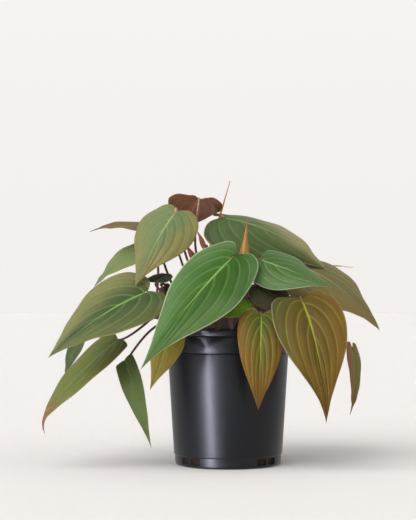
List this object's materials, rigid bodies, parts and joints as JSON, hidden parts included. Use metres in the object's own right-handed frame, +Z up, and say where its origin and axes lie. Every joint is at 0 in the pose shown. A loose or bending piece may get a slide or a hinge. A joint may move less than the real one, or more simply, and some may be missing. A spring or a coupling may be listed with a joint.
{
  "type": "potted heartleaf philodendron",
  "caption": "Trailing heart-leaved philodendron in a round tapered nursery pot filled with potting mix.",
  "frame": {"origin": "centre of the flat ring that the pot stands on", "axes": "+Z up along the pot's axis, -Y towards the side with the largest leaf, +X to that side's right"},
  "size_m": [0.3151, 0.245, 0.2731],
  "materials": {
    "pot_black": "satin moulded polypropylene",
    "potting_mix": "damp, loose and crumbly",
    "stem_red": "smooth, slightly waxy",
    "leaf_green": "velvety",
    "leaf_bronze": "velvety",
    "young_leaf": "smooth, satin",
    "sheath_pink": "smooth, papery"
  },
  "bodies": {
    "root": {"pot": "pot_black", "potting_mix": "potting_mix", "stem_centre": "stem_red", "stem_front": "stem_red", "stem_left_front": "stem_red", "stem_left": "stem_red", "stem_right_front": "stem_red", "stem_right": "stem_red", "stem_back_left": "stem_red", "stem_back_right": "stem_red", "leaf_01": "leaf_green", "leaf_02": "leaf_green", "leaf_03": "leaf_green", "leaf_04": "leaf_bronze", "leaf_05": "leaf_bronze", "leaf_06": "leaf_green", "leaf_07": "leaf_green", "leaf_08": "leaf_green", "leaf_09": "leaf_green", "leaf_10": "leaf_green", "leaf_11": "leaf_green", "leaf_12": "leaf_green", "leaf_13": "leaf_bronze", "leaf_14": "leaf_bronze", "leaf_15": "leaf_bronze", "leaf_16": "leaf_bronze", "leaf_17": "leaf_bronze", "leaf_18": "leaf_green", "leaf_19": "leaf_green", "leaf_20": "leaf_bronze", "leaf_21": "leaf_green", "leaf_22": "leaf_green", "leaf_23": "leaf_bronze", "leaf_24": "leaf_green", "leaf_25": "leaf_green", "leaf_26": "leaf_green", "leaf_27": "leaf_green", "leaf_28": "leaf_bronze", "leaf_29": "leaf_green", "young_leaf_1": "young_leaf", "young_leaf_2": "young_leaf", "young_leaf_3": "young_leaf", "sheath_1": "sheath_pink", "sheath_2": "sheath_pink", "sheath_3": "sheath_pink"}
  },
  "joints": []
}
